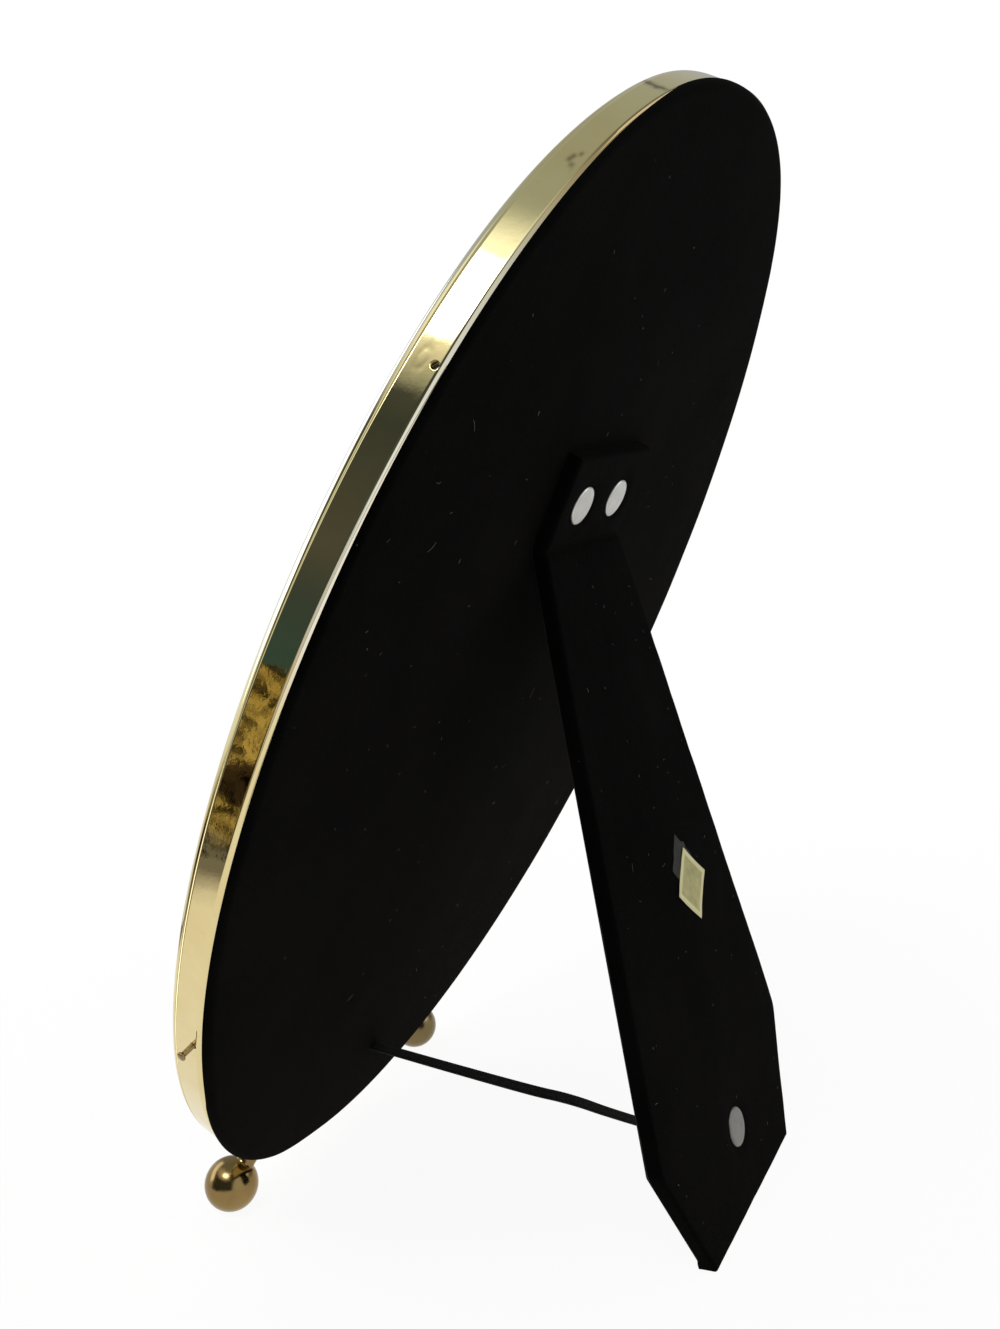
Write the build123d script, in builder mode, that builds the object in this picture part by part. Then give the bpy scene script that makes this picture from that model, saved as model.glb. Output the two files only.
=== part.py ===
"""Oval brass picture frame on ball feet, with a velvet back and a folding easel leg.

Millimetres, +Z up, standing on Z = 0 with its box centred on the origin. The picture faces -Y and
the leg stands behind it, towards +Y. Left and right are as seen from behind.
"""
from build123d import *
import math
import os

os.makedirs("parts", exist_ok=True)

# Brass rim
rim_height = 207.2
rim_width = 147.6
rim_depth = 6.4
rim_wall = 0.9
lip_thickness = 0.9
lip_cover = 3.2
front_edge_radius = 1.1
rear_edge_radius = 0.35
lip_edge_radius = 0.3

# Sheets inside the rim, from the front
glass_thickness = 2.0
print_thickness = 0.3
filler_thickness = 1.0
board_thickness = 2.2
velvet_thickness = 0.5
glass_clearance = 0.9
velvet_clearance = 0.15
velvet_edge_radius = 0.4

# Brads through the rim into the edge of the board
brad_diameter = 0.9
brad_head_diameter = 1.5
brad_head_thickness = 0.5
brad_length = 9.0
brad_hole_diameter = 1.2
brad_inset = 1.1
brad_pulled_out = 2.1
brad_driven_angles = (34, 334)
brad_pulled_angle = 206
brad_empty_angle = 145.2

# Ball feet
ball_diameter = 10.0
neck_diameter = 3.6
neck_length = 4.0
flange_diameter = 5.2
flange_thickness = 0.5
foot_angle = 22.5
foot_inset = 3.5
foot_screw_diameter = 1.6
foot_screw_grip = 3.4
foot_screw_head_diameter = 2.4
foot_screw_head_thickness = 0.5
foot_screw_slot = 0.4

# Hinge tab and fold on the back
tab_width = 29.6
tab_height = 16.25
tab_board_thickness = 2.0
tab_corner_radius = 1.0
fold_height = 29.55
fold_roll_diameter = 1.4

# Flat-headed rivets and their washers
rivet_head_diameter = 6.7
rivet_head_thickness = 0.45
rivet_head_taper = 25.0
rivet_shank_diameter = 2.6
rivet_sink = 0.3
rivet_spacing = 13.8
tab_rivet_height = 7.4
burr_diameter = 5.8
burr_thickness = 0.45
clinch_diameter = 3.8
clinch_thickness = 0.3

# Easel leg
leg_open_angle = 39.1
leg_length = 119.5
leg_top_width = 29.6
leg_wide_width = 61.7
leg_wide_rise = 22.4
leg_foot_width = 41.4
leg_board_thickness = 1.9
lining_thickness = 0.4
leg_corner_radius = 1.2
leg_bevel_length = 12.0
leg_bevel_depth = 0.55
leg_rivet_rise = 13.6
label_side = 9.4
label_thickness = 0.12
label_rise = 56.2
label_offset = 6.9

# Ribbon stay
ribbon_width = 2.8
ribbon_thickness = 0.45
slit_drop = 86.1
slit_height = 1.9
stay_end_diameter = 6.0
stay_end_drop = 3.9
tail_length = 11.0
tail_bend = 0.5
pocket_width = 8.0
pocket_depth = 1.3
staple_wire = 0.6
staple_span = 4.4
staple_grip = 0.7
staple_height = 6.0

# Clearances
running_gap = 0.25
hole_clearance = 0.05
seat_gap = 0.02
stay_gap = 0.12

# Levels along the back's normal, with zero at the rear edge of the rim
glass_front = lip_thickness - rim_depth
print_front = glass_front + glass_thickness
filler_front = print_front + print_thickness
board_front = filler_front + filler_thickness
board_rear = board_front + board_thickness
velvet_rear = board_rear + velvet_thickness
tab_board_rear = velvet_rear + tab_board_thickness
tab_rear = tab_board_rear + velvet_thickness
axis_level = tab_rear - velvet_thickness / 2

# Levels along the leg's normal, with zero on the fold axis
leg_outer = velvet_thickness / 2
leg_seat = leg_outer - rivet_sink
leg_board_outer = leg_outer - velvet_thickness
leg_board_inner = leg_board_outer - leg_board_thickness
leg_inner = leg_board_inner - lining_thickness
stay_end_inner = leg_inner - ribbon_thickness
leg_burr_inner = stay_end_inner - burr_thickness

# Places down the leg from the fold axis
fold_gap = fold_roll_diameter / 2 + running_gap
leg_wide_drop = leg_length - leg_wide_rise
leg_rivet_drop = leg_length - leg_rivet_rise
label_drop = leg_length - label_rise

ball_radius = ball_diameter / 2


def oval_point(angle, reach=0.0):
    """Point that lies reach outside the rim's outer oval, in the plane of the oval."""
    turn = math.radians(angle)
    across = math.cos(turn) / rim_width
    along = math.sin(turn) / rim_height
    share = reach / math.hypot(across, along)
    return (
        rim_width / 2 * math.cos(turn) + across * share,
        rim_height / 2 * math.sin(turn) + along * share,
    )


# The lean is the one at which the ball feet and the end of the leg all touch the floor
opening = math.radians(leg_open_angle)
foot_height = oval_point(270 + foot_angle, neck_length + ball_radius)[1]
leg_end_height = fold_height - leg_length * math.cos(opening) + leg_outer * math.sin(opening)
leg_end_level = axis_level + leg_length * math.sin(opening) + leg_outer * math.cos(opening)
rise = foot_height - leg_end_height
stride = leg_end_level + foot_inset
lean = math.asin(ball_radius / math.hypot(rise, stride)) - math.atan2(rise, stride)
lean_sin = math.sin(lean)
lean_cos = math.cos(lean)
leg_tilt = opening - lean

# Place of the oval's centre, from the floor and from the front and rear of the whole box
centre_height = ball_radius - foot_height * lean_cos - foot_inset * lean_sin
front_reach = foot_height * lean_sin - foot_inset * lean_cos - ball_radius
top_reach = (rim_height / 2 - rear_edge_radius) * lean_sin + rear_edge_radius * (1 - lean_cos)
leg_reach = leg_end_height * lean_sin + leg_end_level * lean_cos
centre_back = -(front_reach + max(top_reach, leg_reach)) / 2

oval_plane = Plane(
    origin=(0, centre_back, centre_height),
    x_dir=(-1, 0, 0),
    z_dir=(0, lean_cos, -lean_sin),
)
leg_plane = Plane(
    origin=oval_plane.from_local_coords((0, fold_height, axis_level)),
    x_dir=(-1, 0, 0),
    z_dir=(0, math.cos(leg_tilt), math.sin(leg_tilt)),
)
back_axis = Axis(oval_plane.origin, oval_plane.z_dir)
floor_plane = Plane.XY


def rim_plane(angle, inset):
    """Plane that touches the rim's outer face, with its normal pointing straight out of the rim."""
    near = oval_plane.from_local_coords((*oval_point(angle), -inset))
    far = oval_plane.from_local_coords((*oval_point(angle, 1.0), -inset))
    outward = far - near
    return Plane(origin=near, x_dir=outward.cross(oval_plane.z_dir), z_dir=outward)


def save(piece, name):
    """Label a finished piece and write it to its own file."""
    piece.part.label = name
    export_step(piece.part, f"parts/{name}.step")


def oval_size(gap):
    """Half width and half height of an oval that lies gap inside the rim's wall."""
    return rim_width / 2 - rim_wall - gap, rim_height / 2 - rim_wall - gap


def oval_sheet(name, front, thickness, gap):
    """Flat oval sheet inside the rim."""
    with BuildPart() as sheet:
        with BuildSketch(oval_plane.offset(front)):
            Ellipse(*oval_size(gap))
        extrude(amount=thickness)
    save(sheet, name)


# Brass rim
all_brad_angles = (*brad_driven_angles, brad_pulled_angle, brad_empty_angle)
foot_angles = {"left": 270 - foot_angle, "right": 270 + foot_angle}
with BuildPart() as brass_rim:
    with BuildSketch(oval_plane):
        Ellipse(rim_width / 2, rim_height / 2)
    extrude(amount=-rim_depth)
    with BuildSketch(oval_plane):
        Ellipse(*oval_size(0))
    extrude(amount=glass_front, mode=Mode.SUBTRACT)
    with BuildSketch(oval_plane):
        Ellipse(*oval_size(lip_cover))
    extrude(amount=-rim_depth, mode=Mode.SUBTRACT)
    fillet(brass_rim.edges().group_by(back_axis)[0].sort_by(SortBy.LENGTH)[-1], radius=front_edge_radius)
    fillet(brass_rim.edges().group_by(back_axis)[0].sort_by(SortBy.LENGTH)[0], radius=lip_edge_radius)
    fillet(brass_rim.edges().group_by(back_axis)[-1].sort_by(SortBy.LENGTH)[-1], radius=rear_edge_radius)
    for angle in all_brad_angles:
        with BuildSketch(rim_plane(angle, brad_inset).offset(rim_wall)):
            Circle(brad_hole_diameter / 2)
        extrude(amount=-3 * rim_wall, mode=Mode.SUBTRACT)
    for angle in foot_angles.values():
        with BuildSketch(rim_plane(angle, foot_inset).offset(rim_wall)):
            Circle(foot_screw_diameter / 2 + hole_clearance)
        extrude(amount=-3 * rim_wall, mode=Mode.SUBTRACT)
save(brass_rim, "brass_rim")

# Glass, blank print and filler card
oval_sheet("glass_pane", glass_front, glass_thickness, glass_clearance)
oval_sheet("picture_card", print_front, print_thickness, glass_clearance)
oval_sheet("filler_card", filler_front, filler_thickness, glass_clearance)


def brad_bores():
    """Holes in the edge of the board and its velvet, one behind each hole in the rim."""
    for angle in all_brad_angles:
        with BuildSketch(rim_plane(angle, brad_inset).offset(-rim_wall)) as bore:
            Circle(brad_diameter / 2 + hole_clearance)
        extrude(bore.sketch, amount=rim_wall - brad_length - running_gap, mode=Mode.SUBTRACT)


def tab_rivet_bores(level, depth, diameter=rivet_shank_diameter):
    """Holes for the tab rivets, cut from a level on the back towards the front."""
    with BuildSketch(oval_plane.offset(level)) as bores:
        with Locations((0, fold_height + tab_rivet_height)):
            with GridLocations(rivet_spacing, 0, 2, 1):
                Circle(diameter / 2 + hole_clearance)
    extrude(bores.sketch, amount=-depth, mode=Mode.SUBTRACT)


slit_width = ribbon_width + 2 * running_gap


def stay_slit(level, depth):
    """Slit that the ribbon passes through, cut from a level on the back towards the front."""
    with BuildSketch(oval_plane.offset(level)) as slit:
        with Locations((0, -slit_drop)):
            Rectangle(slit_width, slit_height)
    extrude(slit.sketch, amount=-depth, mode=Mode.SUBTRACT)


# Backing board
board_gap = velvet_clearance + velvet_thickness
pocket_floor = board_front + pocket_depth
tail_centre = pocket_floor - ribbon_thickness / 2
pocket_length = tail_length + slit_height
with BuildPart() as backing_board:
    with BuildSketch(oval_plane.offset(board_front)):
        Ellipse(*oval_size(board_gap))
    extrude(amount=board_thickness)
    brad_bores()
    tab_rivet_bores(board_rear, board_thickness)
    with BuildSketch(oval_plane.offset(board_front)):
        with Locations((0, fold_height + tab_rivet_height)):
            with GridLocations(rivet_spacing, 0, 2, 1):
                Circle(burr_diameter / 2 + running_gap)
        with Locations((0, tail_length / 2 - slit_drop)):
            RectangleRounded(pocket_width, pocket_length, slit_height / 2)
    extrude(amount=pocket_depth, mode=Mode.SUBTRACT)
    stay_slit(board_rear, board_thickness)
    with BuildSketch(oval_plane.offset(pocket_floor)):
        with Locations((0, staple_height - slit_drop)):
            with GridLocations(staple_span, 0, 2, 1):
                Rectangle(staple_wire + 2 * hole_clearance, staple_wire + 2 * hole_clearance)
    extrude(amount=staple_grip, mode=Mode.SUBTRACT)
save(backing_board, "backing_board")

# Velvet over the back of the board and round its edge
with BuildPart() as back_velvet:
    with BuildSketch(oval_plane.offset(board_front)):
        Ellipse(*oval_size(velvet_clearance))
    extrude(amount=board_thickness + velvet_thickness)
    rear_edge = back_velvet.edges().group_by(back_axis)[-1]
    fillet(rear_edge, radius=velvet_edge_radius)
    with BuildSketch(oval_plane.offset(board_front)):
        Ellipse(*oval_size(board_gap))
    extrude(amount=board_thickness, mode=Mode.SUBTRACT)
    brad_bores()
    tab_rivet_bores(velvet_rear, velvet_thickness)
    stay_slit(velvet_rear, velvet_thickness)
save(back_velvet, "back_velvet")


def brad(angle, out):
    """One brad through the rim, with its head standing out from the rim's face."""
    seat = rim_plane(angle, brad_inset).offset(out)
    with BuildSketch(seat) as shank:
        Circle(brad_diameter / 2)
    extrude(shank.sketch, amount=-brad_length)
    with BuildSketch(seat) as head:
        Circle(brad_head_diameter / 2)
    extrude(head.sketch, amount=brad_head_thickness)


# Brads: two driven home on the far side, one half pulled on the near side
with BuildPart() as rim_brads:
    for angle in brad_driven_angles:
        brad(angle, seat_gap)
save(rim_brads, "rim_brads")

with BuildPart() as bent_brad:
    brad(brad_pulled_angle, brad_pulled_out)
save(bent_brad, "bent_brad")

# Ball feet, each with a neck, a small flange and a screw from inside the rim
neck_radius = neck_diameter / 2
ball_centre = neck_length + ball_radius
neck_end = ball_centre - math.sqrt(ball_radius**2 - neck_radius**2)
for side, angle in foot_angles.items():
    foot_plane = rim_plane(angle, foot_inset)
    profile_plane = Plane(
        origin=foot_plane.origin,
        x_dir=foot_plane.x_dir,
        z_dir=-foot_plane.y_dir,
    )
    with BuildPart() as ball_foot:
        with BuildSketch(profile_plane):
            with BuildLine():
                Polyline(
                    (0, ball_centre + ball_radius),
                    (0, 0),
                    (flange_diameter / 2, 0),
                    (flange_diameter / 2, flange_thickness),
                    (neck_radius, flange_thickness),
                    (neck_radius, neck_end),
                )
                ThreePointArc(
                    (neck_radius, neck_end),
                    (ball_radius, ball_centre),
                    (0, ball_centre + ball_radius),
                )
            make_face()
        revolve(axis=Axis(foot_plane.origin, foot_plane.z_dir))
        with BuildSketch(foot_plane):
            Circle(foot_screw_diameter / 2 + hole_clearance)
        extrude(amount=foot_screw_grip + running_gap, mode=Mode.SUBTRACT)
    save(ball_foot, f"ball_foot_{side}")

    head_plane = foot_plane.offset(-rim_wall - seat_gap)
    with BuildPart() as foot_screw:
        with BuildSketch(head_plane):
            Circle(foot_screw_diameter / 2)
        extrude(amount=rim_wall + foot_screw_grip)
        with BuildSketch(head_plane):
            Circle(foot_screw_head_diameter / 2)
        extrude(amount=-foot_screw_head_thickness)
        with BuildSketch(head_plane.offset(-foot_screw_head_thickness)):
            Rectangle(foot_screw_head_diameter, foot_screw_slot)
        extrude(amount=foot_screw_head_thickness / 2, mode=Mode.SUBTRACT)
    save(foot_screw, f"foot_screw_{side}")

# Hinge tab: a board with velvet over its face and three edges
tab_bottom = fold_height + fold_gap
tab_top = fold_height + tab_height


def tab_block(inset, thickness):
    """Tab outline on the back, drawn in by inset at its sides and top."""
    height = tab_top - tab_bottom - inset
    with BuildSketch(oval_plane.offset(velvet_rear)) as outline:
        with Locations((0, tab_bottom + height / 2)):
            Rectangle(tab_width - 2 * inset, height)
    extrude(outline.sketch, amount=thickness)


with BuildPart() as tab_board:
    tab_block(velvet_thickness, tab_board_thickness)
    tab_rivet_bores(tab_board_rear, tab_board_thickness)
save(tab_board, "tab_board")

with BuildPart() as tab_core:
    tab_block(velvet_thickness, tab_board_thickness)
with BuildPart() as tab_velvet:
    tab_block(0, tab_board_thickness + velvet_thickness)
    upright_edges = tab_velvet.edges().filter_by(back_axis)
    fillet(upright_edges.sort_by(Axis.Z)[-2:], radius=tab_corner_radius)
    add(tab_core.part, mode=Mode.SUBTRACT)
    tab_rivet_bores(tab_rear, velvet_thickness)
    tab_rivet_bores(tab_rear, rivet_sink, rivet_head_diameter)
save(tab_velvet, "tab_velvet")


def rivet(plane, centre, grip):
    """Flat-headed rivet whose head seats on a plane, clinched at the far end of its grip."""
    with BuildSketch(plane) as head:
        with Locations(centre):
            Circle(rivet_head_diameter / 2)
    extrude(head.sketch, amount=rivet_head_thickness, taper=rivet_head_taper)
    with BuildSketch(plane) as shank:
        with Locations(centre):
            Circle(rivet_shank_diameter / 2)
    extrude(shank.sketch, amount=-grip)
    with BuildSketch(plane.offset(-grip)) as clinch:
        with Locations(centre):
            Circle(clinch_diameter / 2)
    extrude(clinch.sketch, amount=-clinch_thickness)


def burr(plane, centre):
    """Washer under a rivet's clinched end, seated on a plane and reaching to its front."""
    with BuildSketch(plane) as washer:
        with Locations(centre):
            Circle(burr_diameter / 2)
            Circle(rivet_shank_diameter / 2 + hole_clearance, mode=Mode.SUBTRACT)
    extrude(washer.sketch, amount=-burr_thickness)


# Tab rivets, clinched over washers in the board's inner face
tab_rivet_centres = [
    (side * rivet_spacing / 2, fold_height + tab_rivet_height) for side in (-1, 1)
]
tab_seat = tab_rear - rivet_sink
with BuildPart() as tab_rivets:
    for centre in tab_rivet_centres:
        rivet(oval_plane.offset(tab_seat), centre, tab_seat - pocket_floor + burr_thickness)
save(tab_rivets, "tab_rivets")

with BuildPart() as tab_rivet_burrs:
    for centre in tab_rivet_centres:
        burr(oval_plane.offset(pocket_floor), centre)
save(tab_rivet_burrs, "tab_rivet_burrs")

# Rolled cloth of the fold, round the leg's axis
fold_plane = Plane(origin=leg_plane.origin, z_dir=(1, 0, 0))
with BuildPart() as fold_cloth:
    with BuildSketch(fold_plane):
        Circle(fold_roll_diameter / 2)
    extrude(amount=tab_width / 2, both=True)
save(fold_cloth, "fold_cloth")


# Slope that thins the leg's inner face towards the fold, so that the leg can close
bevel_start = leg_plane.from_local_coords((0, -leg_bevel_length, leg_inner))
bevel_normal = leg_bevel_depth * leg_plane.y_dir - leg_bevel_length * leg_plane.z_dir
bevel_plane = Plane(origin=bevel_start, x_dir=leg_plane.x_dir, z_dir=bevel_normal)


def leg_block(inset, outer, inner):
    """Leg outline drawn in by inset, between two levels, trimmed at the floor and at the slope."""
    half_top = leg_top_width / 2 - inset
    half_wide = leg_wide_width / 2 - inset
    half_foot = leg_foot_width / 2 - inset
    with BuildSketch(leg_plane.offset(outer)) as outline:
        with BuildLine():
            Polyline(
                (-half_top, -fold_gap - inset),
                (half_top, -fold_gap - inset),
                (half_wide, -leg_wide_drop),
                (half_foot, -leg_length + inset),
                (-half_foot, -leg_length + inset),
                (-half_wide, -leg_wide_drop),
                close=True,
            )
        make_face()
        fillet(outline.vertices(), radius=leg_corner_radius - inset)
    extrude(outline.sketch, amount=inner - outer)
    split(bisect_by=floor_plane.offset(inset), keep=Keep.TOP)
    split(bisect_by=bevel_plane, keep=Keep.BOTTOM)


def leg_rivet_bore(outer, inner, diameter=rivet_shank_diameter):
    """Hole for the leg rivet between two levels."""
    with BuildSketch(leg_plane.offset(outer)) as bore:
        with Locations((0, -leg_rivet_drop)):
            Circle(diameter / 2 + hole_clearance)
    extrude(bore.sketch, amount=inner - outer, mode=Mode.SUBTRACT)


# Easel leg: a board, velvet on its outer face and edges, lining on its inner face
with BuildPart() as leg_core:
    leg_block(velvet_thickness, leg_board_outer, leg_board_inner)

with BuildPart() as leg_board:
    add(leg_core.part)
    leg_rivet_bore(leg_board_outer, leg_board_inner)
save(leg_board, "leg_board")

with BuildPart() as leg_velvet:
    leg_block(0, leg_outer, leg_board_inner)
    add(leg_core.part, mode=Mode.SUBTRACT)
    leg_rivet_bore(leg_outer, leg_board_outer)
    leg_rivet_bore(leg_outer, leg_seat, rivet_head_diameter)
save(leg_velvet, "leg_velvet")

with BuildPart() as leg_lining:
    leg_block(0, leg_board_inner, leg_inner)
    leg_rivet_bore(leg_board_inner, leg_inner)
save(leg_lining, "leg_lining")

# Leg rivet, with the ribbon's looped end and a washer under its clinched end
leg_rivet_centre = (0, -leg_rivet_drop)
with BuildPart() as leg_rivet:
    rivet(leg_plane.offset(leg_seat), leg_rivet_centre, leg_seat - leg_burr_inner)
save(leg_rivet, "leg_rivet")

with BuildPart() as leg_rivet_burr:
    burr(leg_plane.offset(stay_end_inner), leg_rivet_centre)
save(leg_rivet_burr, "leg_rivet_burr")

with BuildPart() as stay_end:
    with BuildSketch(leg_plane.offset(leg_inner)):
        with Locations(leg_rivet_centre):
            Circle(stay_end_diameter / 2)
        with Locations((0, -leg_rivet_drop - stay_end_drop / 2)):
            Rectangle(ribbon_width, stay_end_drop + ribbon_thickness)
        with Locations(leg_rivet_centre):
            Circle(rivet_shank_diameter / 2 + hole_clearance, mode=Mode.SUBTRACT)
    extrude(amount=-ribbon_thickness)
save(stay_end, "stay_end")

# Ribbon stay: a tail on the inside of the board, then the slit, then a straight tight run to the leg
tail_end = oval_plane.from_local_coords((0, tail_length - slit_drop, tail_centre))
tail_corner = oval_plane.from_local_coords((0, -slit_drop, tail_centre))
slit_corner = oval_plane.from_local_coords((0, -slit_drop, velvet_rear))
stay_foot = leg_plane.from_local_coords((0, -leg_rivet_drop - stay_end_drop, stay_end_inner - stay_gap))
ribbon_plane = Plane(origin=(0, 0, 0), x_dir=(0, 1, 0), z_dir=(1, 0, 0))
ribbon_points = [(point.Y, point.Z) for point in (tail_end, tail_corner, slit_corner, stay_foot)]
with BuildPart() as stay_ribbon:
    with BuildSketch(ribbon_plane):
        with BuildLine():
            FilletPolyline(*ribbon_points, radius=tail_bend)
        trace(line_width=ribbon_thickness)
    extrude(amount=ribbon_width / 2, both=True)
save(stay_ribbon, "stay_ribbon")
stay_length = (stay_foot - slit_corner).length
print(f"stay free run {stay_length:.1f} mm, bend radius {tail_bend} mm, lean {math.degrees(lean):.2f} deg")

# Staple over the ribbon's tail, bent from flat wire
crown_level = tail_centre - ribbon_thickness / 2 - staple_wire / 2 - seat_gap
staple_plane = Plane(
    origin=oval_plane.from_local_coords((0, staple_height - slit_drop, 0)),
    x_dir=(-1, 0, 0),
    z_dir=-oval_plane.y_dir,
)
staple_tip = pocket_floor + staple_grip - running_gap
with BuildPart() as stay_staple:
    with BuildSketch(staple_plane):
        with BuildLine():
            FilletPolyline(
                (-staple_span / 2, staple_tip),
                (-staple_span / 2, crown_level),
                (staple_span / 2, crown_level),
                (staple_span / 2, staple_tip),
                radius=staple_wire,
            )
        trace(line_width=staple_wire)
    extrude(amount=staple_wire / 2, both=True)
save(stay_staple, "stay_staple")

# Blank foil label, a square set on its corner
with BuildPart() as label_foil:
    with BuildSketch(leg_plane.offset(leg_outer)):
        with Locations((label_offset, -label_drop)):
            Rectangle(label_side, label_side, rotation=45)
    extrude(amount=label_thickness)
save(label_foil, "label_foil")
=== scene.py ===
import bmesh
import bpy
import math
import random
from mathutils import Matrix, Vector, noise


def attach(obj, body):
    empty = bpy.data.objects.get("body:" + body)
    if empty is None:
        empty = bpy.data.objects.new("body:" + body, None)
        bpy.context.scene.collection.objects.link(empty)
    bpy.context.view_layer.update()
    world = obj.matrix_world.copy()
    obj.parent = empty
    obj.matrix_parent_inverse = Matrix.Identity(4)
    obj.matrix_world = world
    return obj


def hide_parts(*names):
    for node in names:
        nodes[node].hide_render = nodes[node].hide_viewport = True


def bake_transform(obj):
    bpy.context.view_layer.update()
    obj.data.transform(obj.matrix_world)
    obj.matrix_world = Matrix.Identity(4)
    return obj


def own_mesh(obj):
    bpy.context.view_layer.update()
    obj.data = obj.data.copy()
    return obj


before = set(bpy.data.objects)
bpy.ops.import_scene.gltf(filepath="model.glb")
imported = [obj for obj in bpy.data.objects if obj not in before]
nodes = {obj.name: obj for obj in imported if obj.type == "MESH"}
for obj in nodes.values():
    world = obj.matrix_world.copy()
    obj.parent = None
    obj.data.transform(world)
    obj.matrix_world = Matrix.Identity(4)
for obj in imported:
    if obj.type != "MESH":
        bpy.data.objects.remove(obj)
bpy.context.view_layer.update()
MM = 0.001

# Sizes in millimetres, the same as in the part's source
RIM_A = 73.8
RIM_B = 103.6
RIM_DEPTH = 6.4
RIM_WALL = 0.9
LIP_COVER = 3.2
LIP_THICK = 0.9
LEAN = math.radians(29.45808)
TILT = math.radians(9.64192)
OVAL = Vector((0.0, 4.06118, 93.3928))
FOLD = Vector((0.0, 20.9879, 117.770))
VELVET_REAR = 0.5
TAB_REAR = 3.0
FOLD_HEIGHT = 29.55
TAB_TOP = 16.25
TAB_HALF = 14.8
LEG_OUT = 0.25
LEG_INNER = -2.55
LEG_WRAP = 2.4
LEG_LENGTH = 119.5
LEG_WIDE = 97.1
LEG_WIDE_HALF = 30.85
LEG_FOOT_HALF = 20.7
RIVET_DROP = 105.9
RIVET_R = 3.35
TAB_RIVETS = (-6.9, 6.9)
TAB_RIVET_UP = 7.4
LABEL_DROP = 63.3
LABEL_SIDE = -6.9
SLIT_DROP = 86.1

ACROSS = Vector((1.0, 0.0, 0.0))
UP_BACK = Vector((0.0, math.sin(LEAN), math.cos(LEAN)))
OUT_BACK = Vector((0.0, math.cos(LEAN), -math.sin(LEAN)))
DOWN_LEG = Vector((0.0, math.sin(TILT), -math.cos(TILT)))
OUT_LEG = Vector((0.0, math.cos(TILT), math.sin(TILT)))


def back(x, y, z):
    """Point on the back: across, up from the oval's centre, out of the rim's rear edge."""
    return (OVAL + ACROSS * x + UP_BACK * y + OUT_BACK * z) * MM


def leg(x, drop, z):
    """Point on the leg: across, down from the fold, out from the fold axis."""
    return (FOLD + ACROSS * x + DOWN_LEG * drop + OUT_LEG * z) * MM


def smooth(value, low, high):
    t = min(1.0, max(0.0, (value - low) / (high - low)))
    return t * t * (3 - 2 * t)


def lumps(p, scale, amount, seed=0.0):
    """Soft noise at a point in metres, with lumps of about scale millimetres."""
    return amount * noise.noise(p / (scale * MM) + Vector((seed, seed * 1.7, seed * 0.3)))


def new_object(name, verts, faces, material, body, shade=True):
    """Makes a piece with its faces turned outward, gives it its material, and says which body it belongs to.
    """
    mesh = bpy.data.meshes.new(name)
    mesh.from_pydata([tuple(v) for v in verts], [], faces)
    shell = bmesh.new()
    shell.from_mesh(mesh)
    bmesh.ops.recalc_face_normals(shell, faces=shell.faces)
    shell.to_mesh(mesh)
    shell.free()
    mesh.update()
    obj = bpy.data.objects.new(name, mesh)
    bpy.context.scene.collection.objects.link(obj)
    if shade:
        mesh.polygons.foreach_set("use_smooth", [True] * len(mesh.polygons))
    if material:
        mesh.materials.append(material)
    if body:
        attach(obj, body)
    return obj


def grid_faces(rows, cols, wrap_rows=False, wrap_cols=False):
    """Four-sided faces between the points of a grid, row by row."""
    faces = []
    for r in range(rows if wrap_rows else rows - 1):
        for c in range(cols if wrap_cols else cols - 1):
            r2 = (r + 1) % rows
            c2 = (c + 1) % cols
            faces.append((r * cols + c, r * cols + c2, r2 * cols + c2, r2 * cols + c))
    return faces


def lathe(profile, place, steps):
    """Turns a closed profile of (radius, height) pairs; place maps (x, y, height) to a point."""
    verts = []
    for r, h in profile:
        for k in range(steps):
            a = 2 * math.pi * k / steps
            verts.append(place(r * math.cos(a), r * math.sin(a), h))
    return verts, tube_faces(len(profile), steps)


def tube_faces(rings, steps):
    """Faces of a closed tube made of rings of points, with an end at each side."""
    last = (rings - 1) * steps
    ends = [tuple(range(steps - 1, -1, -1)), tuple(last + k for k in range(steps))]
    return grid_faces(rings, steps, wrap_cols=True) + ends


def joined(parts):
    """One list of points and faces from several."""
    verts, faces = [], []
    for part_verts, part_faces in parts:
        faces += [tuple(i + len(verts) for i in face) for face in part_faces]
        verts += part_verts
    return verts, faces


def paint(obj, name, values):
    """Gives each point of a piece one value, for its material."""
    layer = obj.data.attributes.new(name, "FLOAT", "POINT")
    layer.data.foreach_set("value", values)


# Materials
def material(name):
    mat = bpy.data.materials.new(name)
    mat.use_nodes = True
    tree = mat.node_tree
    return mat, tree, tree.nodes["Principled BSDF"]


def link(tree, a, b):
    tree.links.new(a, b)


def object_coords(tree):
    return tree.nodes.new("ShaderNodeTexCoord").outputs["Object"]


def attribute(tree, name):
    node = tree.nodes.new("ShaderNodeAttribute")
    node.attribute_name = name
    return node.outputs["Fac"]


def noise_node(tree, vector, scale, detail=4.0, rough=0.55):
    node = tree.nodes.new("ShaderNodeTexNoise")
    node.inputs["Scale"].default_value = scale
    node.inputs["Detail"].default_value = detail
    node.inputs["Roughness"].default_value = rough
    link(tree, vector, node.inputs["Vector"])
    return node.outputs["Fac"]


def ramp(tree, value, stops):
    node = tree.nodes.new("ShaderNodeValToRGB")
    elements = node.color_ramp.elements
    while len(elements) < len(stops):
        elements.new(0.5)
    for element, (place, colour) in zip(elements, stops):
        element.position = place
        element.color = (*colour, 1.0)
    link(tree, value, node.inputs["Fac"])
    return node.outputs["Color"]


def grey(v):
    return (v, v, v)


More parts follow.
